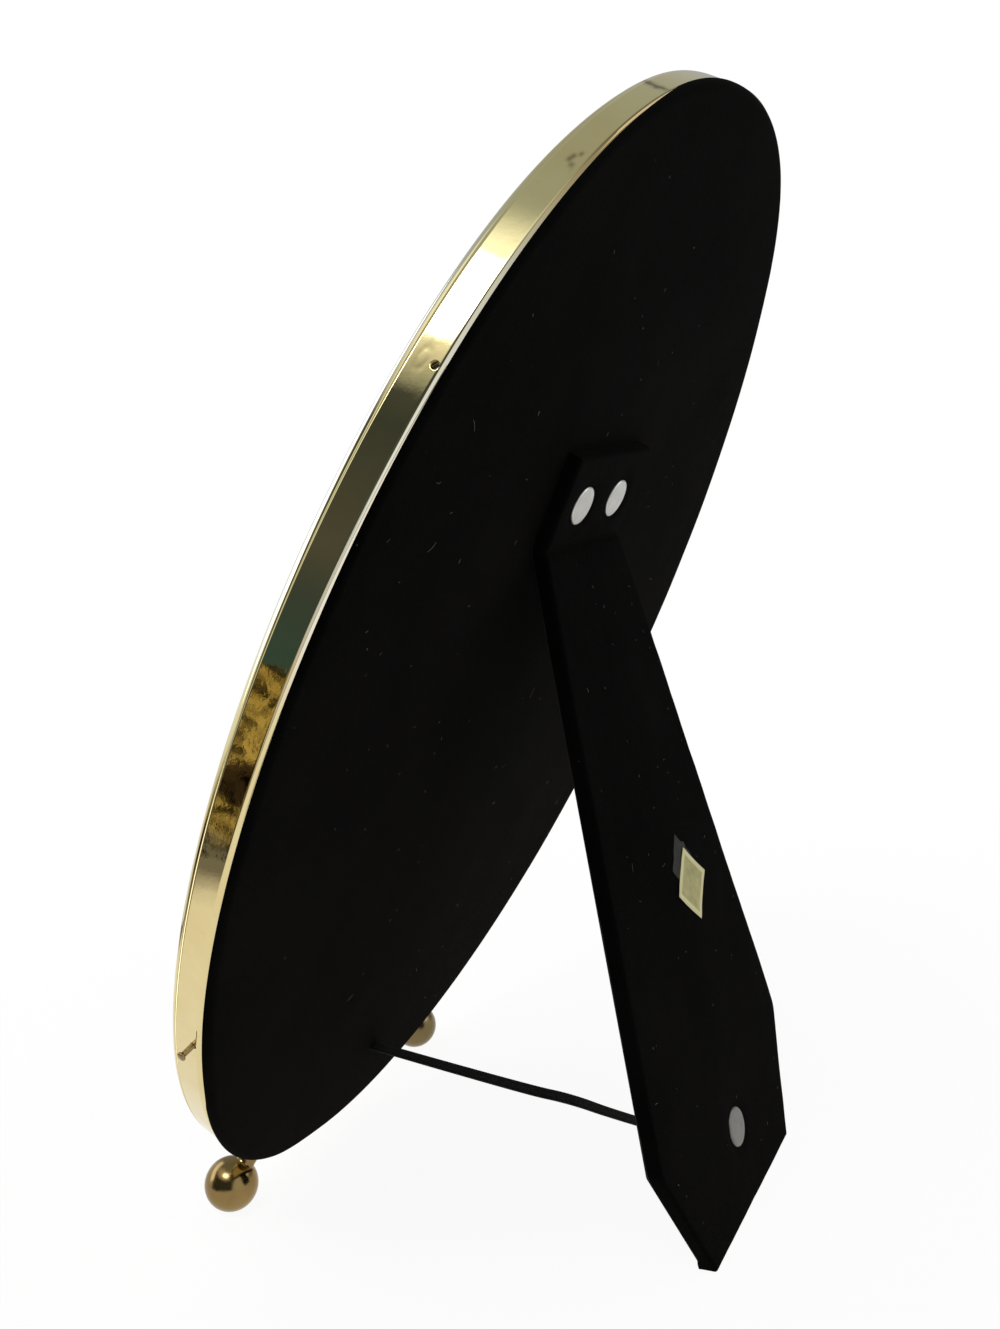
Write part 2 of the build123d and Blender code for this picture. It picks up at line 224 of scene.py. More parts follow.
def mix(tree, factor, a, b, blend="MIX"):
    node = tree.nodes.new("ShaderNodeMix")
    node.data_type = "RGBA"
    node.blend_type = blend
    for socket, value in ((node.inputs[0], factor), (node.inputs[6], a), (node.inputs[7], b)):
        if isinstance(value, (int, float)):
            socket.default_value = value
        elif isinstance(value, tuple):
            socket.default_value = (*value, 1.0)
        else:
            link(tree, value, socket)
    return node.outputs[2]


def math_node(tree, operation, a, b):
    node = tree.nodes.new("ShaderNodeMath")
    node.operation = operation
    for socket, value in zip(node.inputs, (a, b)):
        if isinstance(value, (int, float)):
            socket.default_value = value
        else:
            link(tree, value, socket)
    return node.outputs[0]


def map_range(tree, value, low, high, to_low=0.0, to_high=1.0):
    node = tree.nodes.new("ShaderNodeMapRange")
    node.interpolation_type = "SMOOTHSTEP"
    for key, number in (("From Min", low), ("From Max", high), ("To Min", to_low), ("To Max", to_high)):
        node.inputs[key].default_value = number
    link(tree, value, node.inputs["Value"])
    return node.outputs["Result"]


def any_of(tree, *sockets):
    value = sockets[0]
    for socket in sockets[1:]:
        value = math_node(tree, "MAXIMUM", value, socket)
    return value


def bump(tree, height, strength, distance, shader):
    node = tree.nodes.new("ShaderNodeBump")
    node.inputs["Strength"].default_value = strength
    node.inputs["Distance"].default_value = distance
    link(tree, height, node.inputs["Height"])
    link(tree, node.outputs["Normal"], shader.inputs["Normal"])


def brass_material(name, light, dark, rough_low, rough_high, wear):
    mat, tree, shader = material(name)
    place = object_coords(tree)
    broad = noise_node(tree, place, 60.0, 5.0, 0.6)
    fine = noise_node(tree, place, 700.0, 6.0, 0.7)
    tone = ramp(tree, broad, [(0.30, dark), (0.60, light), (1.0, light)])
    spots = ramp(tree, fine, [(0.0, grey(1.0 - wear)), (0.40, grey(1.0)), (1.0, grey(1.0))])
    tone = mix(tree, 1.0, tone, spots, "MULTIPLY")
    # Paler, near-white tone painted on parts of the rim's rounded edges: painted highlight.
    tone = mix(tree, attribute(tree, "edge_highlight"), tone, (0.93, 0.91, 0.82))
    # Dark tone for the tarnish marks, and painted shade along the rim's rear edge.
    tone = mix(tree, attribute(tree, "tarnish_and_shade"), tone, (0.16, 0.11, 0.05))
    link(tree, tone, shader.inputs["Base Color"])
    rough = ramp(tree, fine, [(0.3, grey(rough_low)), (0.75, grey(rough_high))])
    link(tree, rough, shader.inputs["Roughness"])
    shader.inputs["Metallic"].default_value = 1.0
    bump(tree, noise_node(tree, place, 240.0, 4.0, 0.6), 0.06, 0.0002, shader)
    return mat


def velvet_material(name, base, sheen):
    mat, tree, shader = material(name)
    place = object_coords(tree)
    brushed = noise_node(tree, place, 38.0, 4.0, 0.6)
    pile = noise_node(tree, place, 2600.0, 3.0, 0.7)
    specks = tree.nodes.new("ShaderNodeTexVoronoi")
    specks.inputs["Scale"].default_value = 300.0
    link(tree, place, specks.inputs["Vector"])
    patches = ramp(tree, noise_node(tree, place, 70.0, 3.0, 0.6), [(0.5, grey(0.0)), (0.62, grey(1.0))])
    speck = ramp(tree, specks.outputs["Distance"], [(0.0, grey(1.0)), (0.05, grey(0.0)), (1.0, grey(0.0))])
    speck = mix(tree, 1.0, speck, patches, "MULTIPLY")
    tone = ramp(tree, brushed, [(0.30, tuple(c * 0.4 for c in base)), (0.72, tuple(c * 2.4 for c in base))])
    link(tree, mix(tree, speck, tone, (0.05, 0.048, 0.045)), shader.inputs["Base Color"])
    shader.inputs["Roughness"].default_value = 1.0
    shader.inputs["Specular IOR Level"].default_value = 0.03
    shader.inputs["Sheen Weight"].default_value = sheen
    shader.inputs["Sheen Roughness"].default_value = 0.4
    shader.inputs["Sheen Tint"].default_value = (0.60, 0.56, 0.52, 1.0)
    bump(tree, pile, 0.6, 0.0003, shader)
    return mat


def plain_material(name, low, high, scale, rough, metallic=0.0, bump_scale=600.0, bump_strength=0.15):
    mat, tree, shader = material(name)
    place = object_coords(tree)
    tone = ramp(tree, noise_node(tree, place, scale, 5.0, 0.6), [(0.3, low), (0.72, high)])
    link(tree, tone, shader.inputs["Base Color"])
    shader.inputs["Roughness"].default_value = rough
    shader.inputs["Metallic"].default_value = metallic
    bump(tree, noise_node(tree, place, bump_scale, 4.0, 0.6), bump_strength, 0.0003, shader)
    return mat


def foil_material(name):
    mat, tree, shader = material(name)
    place = object_coords(tree)
    grain = noise_node(tree, place, 500.0, 5.0, 0.6)
    field = ramp(tree, grain, [(0.3, (0.27, 0.25, 0.088)), (0.72, (0.42, 0.385, 0.15))])
    tone = mix(tree, attribute(tree, "border"), field, (0.60, 0.56, 0.30))
    link(tree, tone, shader.inputs["Base Color"])
    shader.inputs["Roughness"].default_value = 0.42
    shader.inputs["Metallic"].default_value = 0.3
    bump(tree, noise_node(tree, place, 900.0, 4.0, 0.6), 0.4, 0.0003, shader)
    return mat


BRASS = brass_material("brass", (0.79, 0.68, 0.38), (0.73, 0.60, 0.31), 0.02, 0.06, 0.25)
BALL_BRASS = brass_material("ball_brass", (0.29, 0.20, 0.082), (0.19, 0.125, 0.05), 0.12, 0.26, 0.4)
# Darker copy of the ball brass for the far foot: painted shade.
SHADED_FAR_BRASS = brass_material("shaded_far_brass", (0.21, 0.16, 0.08), (0.14, 0.105, 0.052), 0.16, 0.3, 0.4)
PIN = brass_material("pin", (0.38, 0.28, 0.13), (0.20, 0.14, 0.06), 0.25, 0.5, 0.5)
VELVET = velvet_material("velvet", (0.0010, 0.00088, 0.00084), 0.0065)
LINING = plain_material("lining", (0.004, 0.004, 0.004), (0.010, 0.009, 0.009), 300.0, 0.95)
RIBBON = plain_material("ribbon", (0.003, 0.003, 0.003), (0.010, 0.009, 0.009), 900.0, 0.75, 0.0, 2500.0, 0.5)
RIVET = plain_material("rivet", (0.50, 0.50, 0.495), (0.60, 0.60, 0.59), 500.0, 0.34, 0.92, 1500.0, 0.12)
# Darker copy of the rivet material for the leg's rivet: painted shade, a darker reflection.
SHADED_RIVET = plain_material(
    "shaded_rivet", (0.145, 0.145, 0.145), (0.19, 0.19, 0.188), 500.0, 0.4, 0.85, 1500.0, 0.12
)
STEEL = plain_material("steel", (0.36, 0.35, 0.33), (0.52, 0.51, 0.49), 500.0, 0.35, 0.9)
BOARD = plain_material("board", (0.30, 0.23, 0.16), (0.46, 0.37, 0.27), 420.0, 0.9)
PRINT = plain_material("print", (0.80, 0.78, 0.73), (0.87, 0.85, 0.81), 260.0, 0.7)
FOIL = foil_material("foil")
GLUE = plain_material("glue", (0.006, 0.006, 0.006), (0.018, 0.0175, 0.017), 700.0, 0.9, 0.0, 1500.0, 0.6)
LINT = plain_material("lint", (0.045, 0.043, 0.040), (0.15, 0.145, 0.135), 500.0, 0.95)

GLASS, _, glass_shader = material("glass")
glass_shader.inputs["Base Color"].default_value = (0.96, 0.98, 0.97, 1.0)
glass_shader.inputs["Roughness"].default_value = 0.02
glass_shader.inputs["IOR"].default_value = 1.5
glass_shader.inputs["Transmission Weight"].default_value = 1.0

# Solids that stay as they are, mostly hidden
for mat, names in (
    (BOARD, ("filler_card", "backing_board", "tab_board", "leg_board")),
    (LINING, ("leg_lining",)),
    (RIBBON, ("stay_end",)),
    (STEEL, ("foot_screw_left", "foot_screw_right", "tab_rivet_burrs", "leg_rivet_burr", "stay_staple")),
):
    for name in names:
        mesh = nodes[name].data
        mesh.materials.clear()
        mesh.materials.append(mat)


# Brass rim, swept round the oval, with an empty brad hole, the marks of use, a painted highlight on part of
# its rounded edges and painted shade along its rear edge at the top.
# Angles are in degrees round the oval from its +X end. The edges are rounder than in the part's source.
EDGE_FRONT = 1.6
EDGE_REAR = 0.6
LIP_ROUND = 0.35
LIP_FLAT = 2.2
BRAD_INSET = 1.1
HOLE_R = 0.6
EMPTY_HOLE = 34.8
PULLED_HOLE = 334
HOLES = (EMPTY_HOLE, PULLED_HOLE)
DRIVEN_BRADS = (146, 206)
SEAM = 70.4
STAIN = 55.6
DENT_LEVEL = -3.0
HOLE_SECTOR = 1.3


def rim_profile():
    """Loop of (inset from the outer face, level) round the section of the rim."""
    points = []

    def arc(cx, cz, r, start, end, count):
        for k in range(count + 1):
            a = math.radians(start + (end - start) * k / count)
            points.append((cx - r * math.cos(a), cz + r * math.sin(a)))

    points.append((RIM_WALL, -0.25))
    points.append((RIM_WALL, -0.06))
    points.append((RIM_WALL - 0.06, 0.0))
    arc(EDGE_REAR, -EDGE_REAR, EDGE_REAR, 90, 0, 10)
    level = -EDGE_REAR
    while level > -RIM_DEPTH + EDGE_FRONT + 0.12:
        level -= 0.1 if level > -2.2 else 0.2
        points.append((0.0, level))
    arc(EDGE_FRONT, -RIM_DEPTH + EDGE_FRONT, EDGE_FRONT, 0, -90, 10)
    lip_end = RIM_WALL + LIP_COVER
    points.append((LIP_FLAT, -RIM_DEPTH))
    points.append((lip_end - LIP_ROUND, -RIM_DEPTH))
    arc(lip_end - LIP_ROUND, -RIM_DEPTH + LIP_ROUND, -LIP_ROUND, 90, 180, 4)
    points.append((lip_end, -RIM_DEPTH + LIP_THICK))
    points.append((RIM_WALL, -RIM_DEPTH + LIP_THICK))
    points.append((RIM_WALL, -2.4))
    return points


def outward(t):
    """Outward direction at an angle in radians round the oval."""
    return (ACROSS * (math.cos(t) / RIM_A) + UP_BACK * (math.sin(t) / RIM_B)).normalized()


def turn_from(angle, centre):
    """Signed difference of two angles in degrees."""
    return (angle - centre + 180) % 360 - 180


def swell(angle, centre, reach):
    """A soft bump round one angle."""
    return math.exp(-((turn_from(angle, centre) / reach) ** 2))


def flat_top(angle):
    """How far the top of the oval is pressed flat."""
    return 1.5 * swell(angle, 86, 15)


def bow(angle, level, inset):
    """How far the rim's front edge is bent back, most beside the top and not at all at the lip's edge."""
    front = min(1.0, max(0.0, -level / RIM_DEPTH))
    lip = 1 - smooth(inset, RIM_WALL, RIM_WALL + LIP_COVER)
    return (0.9 * swell(angle, 70, 15) + 0.4 * swell(angle, 338, 22)) * front * lip


def round_angles():
    """Angles round the oval in degrees, close together at the open holes."""
    angles = []
    angle = 0.0
    while angle < 360:
        angles.append(angle)
        near = min(abs(angle - hole) for hole in HOLES)
        angle += 0.05 if near < 1.4 else 0.2 if near < 3 else 0.5
    return angles


def arc_length(angle, centre):
    """Distance round the rim from one angle to another, in millimetres."""
    middle = math.radians((angle + centre) / 2)
    return math.radians(angle - centre) * math.hypot(RIM_A * math.sin(middle), RIM_B * math.cos(middle))


def hump(value, reach):
    """One at nought, falling off softly to both sides."""
    return math.exp(-((value / reach) ** 2))


def stroke(s, level, start, end):
    """Distance from a point on the rim's face to a short line on it, in millimetres."""
    a, b, q = Vector(start), Vector(end), Vector((s, level))
    share = min(1.0, max(0.0, (q - a).dot(b - a) / (b - a).length_squared))
    return (q - a - (b - a) * share).length


angles = round_angles()
profile = rim_profile()
columns = len(profile)
verts, wear_and_shade, edge_highlight = [], [], []
for angle in angles:
    t = math.radians(angle)
    out = outward(t)
    pried = arc_length(angle, EMPTY_HOLE + 0.1)
    seam = arc_length(angle, SEAM)
    stain = arc_length(angle, STAIN)
    for inset, level in profile:
        flat = flat_top(angle) * (1 - smooth(inset, RIM_WALL, RIM_WALL + LIP_COVER))
        y = (RIM_B - inset) * math.sin(t) - flat
        p = back((RIM_A - inset) * math.cos(t), y, level + bow(angle, level, inset))
        shift = lumps(p, 11, 0.012, 2.0) + lumps(p, 3.2, 0.004, 4.0)
        ring = math.hypot(pried / 1.9, (level - DENT_LEVEL) / 0.85)
        shift -= (0.010 + lumps(p, 1.2, 0.006, 1.0)) * hump(ring - 0.75, 0.32)
        shift += lumps(p, 0.7, 0.010, 11.0) * swell(angle, 57, 5) * smooth(-level, 3.4, 4.4)
        jag = seam + 0.35 * (level + 3.2) / 3.2 + lumps(p, 0.9, 0.5, 6.0)
        shift -= 0.03 * hump(jag, 0.22)
        marks_and_shade = 1.3 * hump(jag, 0.58) * (0.85 + lumps(p, 1.1, 0.5, 8.0)) * smooth(-level, 0.3, 0.9)
        crook = min(
            stroke(stain, level, (1.1, -1.7), (-0.1, -2.9)),
            stroke(stain, level, (-0.1, -2.9), (-1.5, -1.3)),
        )
        marks_and_shade += 0.8 * hump(crook, 0.28) * (0.85 + lumps(p, 0.9, 0.4, 3.0))
        marks_and_shade += (0.05 + lumps(p, 0.7, 0.2, 2.0)) * hump(ring - 0.9, 0.35)
        # Painted shade: the rear rounded edge darkened round the top of the oval, beside the velvet.
        marks_and_shade += 0.9 * smooth(level, -EDGE_REAR - 0.1, -0.6 * EDGE_REAR) * swell(angle, 66, 26)
        wear_and_shade.append(min(1.0, max(0.0, marks_and_shade)))
        # Painted highlight: a paler tone on the rear and front rounded edges, over part of the oval.
        rear = smooth(level, -EDGE_REAR, -0.4 * EDGE_REAR)
        front = smooth(-level, RIM_DEPTH - 0.9 * EDGE_FRONT, RIM_DEPTH - 0.5 * EDGE_FRONT)
        edge_highlight.append(0.8 * max(rear, front) * smooth(angle, 4, 16) * (1 - smooth(angle, 42, 54)))
        verts.append(p + out * shift * MM if inset < RIM_WALL - 0.1 else p)
faces = grid_faces(len(angles), columns, True, True)
walls = [j for j, (inset, level) in enumerate(profile) if inset < 0.3 and -2.4 < level < 0]
for hole in HOLES:
    point = {}
    for i, angle in enumerate(angles):
        for j in walls:
            if abs(angle - hole) < HOLE_SECTOR:
                point[i * columns + j] = Vector((arc_length(angle, hole), profile[j][1] + BRAD_INSET))
    gone = set()
    for face in faces:
        if all(i in point for i in face):
            middle = sum((point[i] for i in face), Vector((0, 0))) / 4
            if middle.length < HOLE_R - 0.02:
                gone.add(face)
    edges = {}
    for face in gone:
        for k in range(4):
            edge = (face[k], face[(k + 1) % 4])
            if (edge[1], edge[0]) in edges:
                del edges[(edge[1], edge[0])]
            else:
                edges[edge] = face
    faces = [face for face in faces if face not in gone]
    out = outward(math.radians(hole))
    tangent = OUT_BACK.cross(out).normalized()
    inner = {}
    for edge in edges:
        for i in edge:
            if i not in inner:
                q = point[i]
                move = q.normalized() * HOLE_R - q
                verts[i] += (tangent * move.x + OUT_BACK * move.y) * MM
                inner[i] = len(verts)
                verts.append(verts[i] - out * RIM_WALL * MM)
                wear_and_shade.append(0.9)
                edge_highlight.append(0.0)
                wear_and_shade[i] = 0.5
    for i, j in edges:
        faces.append((i, j, inner[j], inner[i]))
rim = new_object("rim", verts, faces, BRASS, "frame")
paint(rim, "tarnish_and_shade", wear_and_shade)
paint(rim, "edge_highlight", edge_highlight)
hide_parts("brass_rim")


def on_rim(angle, inset):
    """A place function for a turned piece that stands out of the rim's outer face."""
    t = math.radians(angle)
    out = outward(t)
    tangent = OUT_BACK.cross(out).normalized()
    point = OVAL + ACROSS * (RIM_A * math.cos(t)) + UP_BACK * (RIM_B * math.sin(t)) - OUT_BACK * inset
    return lambda x, y, h: (point + tangent * x + OUT_BACK * y + out * h) * MM


# Glass and blank print behind the lip, flat sheets with eased edges and a thread of air between them
SHEET_GAP = 0.9
SHEET_STEPS = 240
GLASS_LEVELS = (-5.5, -3.5)
PRINT_LEVELS = (-3.44, -3.2)


def oval_sheet(name, levels, ease, mat):
    """A flat oval sheet between two levels, with a ring inside its edge that keeps the faces flat."""
    low, high = levels
    gap = RIM_WALL + SHEET_GAP
    flat = ease + 0.5
    rings = ((flat, high), (ease, high), (0.0, high - ease), (0.0, low + ease), (ease, low), (flat, low))
    verts = []
    for inset, level in rings:
        for k in range(SHEET_STEPS):
            t = 2 * math.pi * k / SHEET_STEPS
            y = (RIM_B - gap - inset) * math.sin(t) - flat_top(math.degrees(t))
            verts.append(back((RIM_A - gap - inset) * math.cos(t), y, level))
    return new_object(name, verts, tube_faces(len(rings), SHEET_STEPS), mat, "frame")


pane = oval_sheet("pane", GLASS_LEVELS, 0.15, GLASS)
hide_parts("glass_pane")
blank_print = oval_sheet("blank_print", PRINT_LEVELS, 0.02, PRINT)
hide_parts("picture_card")

# Ball feet
FOOT_ANGLE = 22.5
FOOT_INSET = 3.5
BALL_R = 5.0
NECK_R = 1.8
NECK = 4.0
FLANGE_TOP = 1.3
BALL_STEPS = 40
centre = NECK + BALL_R
start = math.asin(NECK_R / BALL_R)
neck_top = centre - BALL_R * math.cos(start)
outline = [(2.55, -0.05), (2.6, 0.12), (2.55, 0.38), (2.3, 0.52), (1.98, 0.62), (1.85, 0.85)]
outline += [(NECK_R, FLANGE_TOP + (neck_top - FLANGE_TOP) * k / 4) for k in range(4)]
for k in range(BALL_STEPS):
    a = start + (math.pi - start) * k / BALL_STEPS
    outline.append((BALL_R * math.sin(a), centre - BALL_R * math.cos(a)))
outline.append((0.05, centre + BALL_R))
# The far foot takes the darker brass copy, as painted shade.
for side, angle, mat in (("left", 270 + FOOT_ANGLE, BALL_BRASS), ("right", 270 - FOOT_ANGLE, SHADED_FAR_BRASS)):
    verts, faces = lathe(outline, on_rim(angle, FOOT_INSET), 64)
    foot = new_object(f"foot_{side}", verts, faces, mat, "frame")
    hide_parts(f"ball_foot_{side}")


# Brads
BRAD_LENGTH = 9.0
DRIVEN_OUT = 0.02
PULLED_OUT = 2.1


def brad(angle, out_by):
    """A brad in the rim, with the underside of its head at a distance out of the rim's face."""
    outline = [
        (0.03, 0.5), (0.45, 0.49), (0.68, 0.4), (0.75, 0.24), (0.7, 0.06), (0.47, 0.0),
        (0.45, -0.3), (0.45, 1.4 - BRAD_LENGTH), (0.08, -BRAD_LENGTH),
    ]
    return lathe([(r, out_by + h) for r, h in outline], on_rim(angle, BRAD_INSET), 24)


verts, faces = joined([brad(angle, DRIVEN_OUT) for angle in DRIVEN_BRADS])
brads = new_object("brads", verts, faces, PIN, "frame")
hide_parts("rim_brads")
verts, faces = brad(PULLED_HOLE, PULLED_OUT)
pulled = new_object("pulled_brad", verts, faces, PIN, "frame")
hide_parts("bent_brad")


# Velvet over the back, pulled round the board's edge into the gap at the rim
EDGE = 0.95
ROLL = 1.5
LAP_SINK = 0.58
AROUND = 320
half_a = RIM_A - EDGE
half_b = RIM_B - EDGE


def proud(angle):
    """How far the padded cover stands out near its edge, fullest low on the near side."""
    return 0.12 + 0.85 * swell(angle, 300, 28) + 0.5 * swell(angle, 114, 28)


def over_rim(angle):
    """Share of the rim's rear edge that the cover laps over, low on the near side where it has come loose."""
    return 1 - smooth(abs(turn_from(angle, 305)), 12, 26)


def spread(angle):
    """How far the cover's edge reaches past its usual line."""
    loose = 0.85 * over_rim(angle) + 0.9 * swell(angle, 302, 14)
    return loose + 0.6 * swell(angle, 60, 24) - 0.6 * swell(angle, 88, 12) + 0.6 * swell(angle, 118, 16)


rows = [(ROLL + (half_a - ROLL) * (1 - k / 56) ** 1.4, 0.0) for k in range(1, 56)]
for k in range(13):
    a = math.radians(90 * k / 12)
    rows.append((ROLL * (1 - math.sin(a)), 1 - math.cos(a)))
rows.append((0.01, 1.05))
verts = []
for inset, sink in rows:
    for k in range(AROUND):
        angle = 360 * k / AROUND
        t = math.radians(angle)
        share = (half_a - inset) / half_a
        wide = spread(angle) * (1 - smooth(inset, 0.0, 9.0))
        x = (half_a - inset + wide) * math.cos(t)
        y = (half_b - inset + wide + (half_a - half_b) * (1 - share) ** 3) * math.sin(t)
        fullness = proud(angle) * (1 - smooth(inset, 1.0, 26.0))
        depth = 1.0 + fullness - LAP_SINK * over_rim(angle)
        p = back(x, y, VELVET_REAR + 0.05 + fullness - sink * depth)
        soft = lumps(p, 14, 0.10, 3.0) + lumps(p, 4, 0.03, 7.0)
        verts.append(p + OUT_BACK * MM * soft * smooth(inset, 0.1, 2.0))
faces = [tuple(range(AROUND - 1, -1, -1))] + grid_faces(len(rows), AROUND, wrap_cols=True)
back_cover = new_object("back_cover", verts, faces, VELVET, "frame")
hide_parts("back_velvet")


# Velvet over tab, fold and leg, one piece that bends at the fold
def leg_half(drop):
    """Half width of the leg at a distance down from the fold, with its corners eased."""
    upper = TAB_HALF + (LEG_WIDE_HALF - TAB_HALF) * drop / LEG_WIDE
    lower = LEG_WIDE_HALF + (LEG_FOOT_HALF - LEG_WIDE_HALF) * (drop - LEG_WIDE) / (LEG_LENGTH - LEG_WIDE)
    ease = 0.55
    return 0.5 * (upper + lower) - 0.5 * math.sqrt((upper - lower) ** 2 + ease**2)


ROUND = 0.75
FOOT_ROUND = 0.7
PILE = 0.3
PRESSED = 0.32
FOLD_REACH = 1.1
FOLD_STEPS = 9
FOLD_DEPTH = 2.3
EDGE_COLUMNS = 7
FLAT_COLUMNS = 46


def section(half, depth):
    """Across positions and depths of one row, from the inner left edge to the inner right edge."""
    points = []
    for k in range(3):
        points.append((-half, depth - (depth - ROUND) * k / 3))
    for k in range(EDGE_COLUMNS):
        a = math.radians(90 * k / (EDGE_COLUMNS - 1))
        points.append((-half + ROUND * (1 - math.cos(a)), ROUND * (1 - math.sin(a))))
    inner = half - ROUND
    for k in range(1, FLAT_COLUMNS):
        points.append((-inner + 2 * inner * k / FLAT_COLUMNS, 0.0))
    right = [(-x, d) for x, d in points[: 3 + EDGE_COLUMNS]]
    return points + right[::-1]


def dimple(x, y, spots):
    """Depth pressed into the velvet round rivet heads."""
    total = 0.0
    for cx, cy in spots:
        r = math.hypot(x - cx, y - cy)
        total += PRESSED * (1 - smooth(r, RIVET_R - 0.2, RIVET_R + 2.2))
    return total


tab_spots = [(x, TAB_RIVET_UP) for x in TAB_RIVETS]
leg_spots = [(0.0, -RIVET_DROP)]
TAB_DEPTH = TAB_REAR - VELVET_REAR
tab_rows = [(TAB_TOP, TAB_DEPTH), (TAB_TOP, (TAB_DEPTH + ROUND) / 2)]
for k in range(6):
    a = math.radians(90 * k / 5)
    tab_rows.append((TAB_TOP - ROUND * (1 - math.cos(a)), ROUND * (1 - math.sin(a))))
for k in range(1, 27):
    tab_rows.append((TAB_TOP - ROUND + (FOLD_REACH - TAB_TOP + ROUND) * k / 26, 0.0))
verts = []
for y, sink in tab_rows:
    for x, depth in section(TAB_HALF, TAB_DEPTH):
        deep = max(depth, sink)
        p = back(x, FOLD_HEIGHT + y, TAB_REAR - deep)
        press = dimple(x, y, tab_spots) if deep < 0.05 else 0.0
        p += OUT_BACK * MM * (lumps(p, 9, 0.10, 1.0) + lumps(p, 2.5, 0.04, 5.0) - press)
        verts.append(p)
for k in range(1, FOLD_STEPS):
    s = k / FOLD_STEPS
    for x, depth in section(TAB_HALF, FOLD_DEPTH):
        a = back(x, FOLD_HEIGHT + FOLD_REACH * (1 - s), TAB_REAR - depth)
        b = leg(x, FOLD_REACH * s, LEG_OUT - depth)
        w = smooth(s, 0.0, 1.0)
        sag = 0.28 * math.sin(math.pi * s)
        p = a * (1 - w) + b * w
        p -= (OUT_BACK + OUT_LEG).normalized() * sag * MM
        p += OUT_LEG * MM * lumps(p, 6, 0.08, 2.0)
        verts.append(p)
leg_rows = [(FOLD_REACH + (LEG_LENGTH - FOOT_ROUND - FOLD_REACH) * k / 124, 0.0) for k in range(125)]
for k in range(1, 6):
    a = math.radians(90 * k / 5)
    leg_rows.append((LEG_LENGTH - FOOT_ROUND + FOOT_ROUND * math.sin(a), FOOT_ROUND * (1 - math.cos(a))))
leg_rows += [(LEG_LENGTH, 1.5), (LEG_LENGTH, LEG_WRAP)]
for drop, sink in leg_rows:
    half = leg_half(drop) + PILE * smooth(drop, 0.0, 12.0)
    for x, depth in section(half, LEG_WRAP):
        deep = max(depth, sink)
        corner = smooth(drop, LEG_LENGTH - 3.5, LEG_LENGTH - 0.5) * smooth(abs(x), half - 4.5, half - 0.5)
        deep += 0.8 * smooth(deep, 0.8, LEG_WRAP) * corner
        p = leg(x, drop, LEG_OUT - deep)
        press = dimple(x, -drop, leg_spots) if deep < 0.05 else 0.0
        p += OUT_LEG * MM * (lumps(p, 11, 0.12, 1.0) + lumps(p, 3, 0.04, 5.0) - press)
        p.z = max(p.z, 0.0)
        verts.append(p)
columns = len(section(TAB_HALF, TAB_DEPTH))
easel = new_object("easel_cover", verts, grid_faces(len(verts) // columns, columns), VELVET, None)
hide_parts("tab_velvet", "leg_velvet", "fold_cloth")
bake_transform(easel)


# Rivet heads with their shanks
RIVET_SUNK = 0.3


def rivet(place):
    outline = [
        (0.02, 0.40), (1.2, 0.41), (2.4, 0.42), (2.95, 0.42), (3.2, 0.36), (3.33, 0.22), (RIVET_R, 0.1),
        (3.3, 0.0), (1.3, -0.02), (1.3, -2.0),
    ]
    return lathe(outline, place, 64)


def on_tab(cx):
    """A place function for a rivet on the tab."""
    return lambda x, y, h: back(cx + x, FOLD_HEIGHT + TAB_RIVET_UP + y, TAB_REAR - RIVET_SUNK + h)


verts, faces = joined([rivet(on_tab(cx)) for cx in TAB_RIVETS])
tab_rivets = new_object("tab_rivet_heads", verts, faces, RIVET, "frame")
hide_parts("tab_rivets")
verts, faces = rivet(lambda x, y, h: leg(x, RIVET_DROP - y, LEG_OUT - RIVET_SUNK + h))
# The leg's rivet takes the darker rivet copy, as painted shade.
leg_rivet = new_object("leg_rivet_head", verts, faces, SHADED_RIVET, "leg")
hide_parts("leg_rivet")


# Foil label, a blank square set on its corner, with a raised border and lifted corners
LABEL_HALF = 4.7
LABEL_STEPS = 48
BORDER_IN = 0.75
BORDER_OUT = 1.1


def label_point(i, j, lift):
    """Point of the label's grid; lift is nought for its underside."""
    a = (2 * i / LABEL_STEPS - 1) * LABEL_HALF
    b = (2 * j / LABEL_STEPS - 1) * LABEL_HALF
    x = (a - b) * math.sqrt(0.5)
    y = (a + b) * math.sqrt(0.5)
    edge = LABEL_HALF - max(abs(a), abs(b))
    border = 0.035 * (hump(edge - BORDER_IN, 0.14) - hump(edge - BORDER_OUT, 0.12))
    corner = 0.12 * smooth(math.hypot(x, y), 4.6, 6.6)
    p = leg(LABEL_SIDE + x, LABEL_DROP - y, LEG_OUT + 0.12 + lift + (border if lift else 0.0) + corner)
    return p + OUT_LEG * MM * lumps(p, 2.6, 0.035, 9.0)


side = LABEL_STEPS + 1
cells = [(i, j) for i in range(side) for j in range(side)]
verts = [label_point(i, j, 0.1) for i, j in cells]
faces = grid_faces(side, side)
run = range(LABEL_STEPS)
edge_line = [(i, 0) for i in run] + [(LABEL_STEPS, j) for j in run]
edge_line += [(LABEL_STEPS - i, LABEL_STEPS) for i in run] + [(0, LABEL_STEPS - j) for j in run]
start = len(verts)
verts += [label_point(i, j, 0.0) for i, j in edge_line]
for k, (i, j) in enumerate(edge_line):
    after = (k + 1) % len(edge_line)
    i2, j2 = edge_line[after]
    faces.append((i * side + j, start + k, start + after, i2 * side + j2))
label = new_object("label", verts, faces, FOIL, "leg")
pale = []
for i, j in cells:
    edge = min(i, j, LABEL_STEPS - i, LABEL_STEPS - j) * 2 * LABEL_HALF / LABEL_STEPS
    pale.append(1 - smooth(edge, BORDER_IN, BORDER_OUT))
paint(label, "border", pale + [1.0] * len(edge_line))
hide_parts("label_foil")

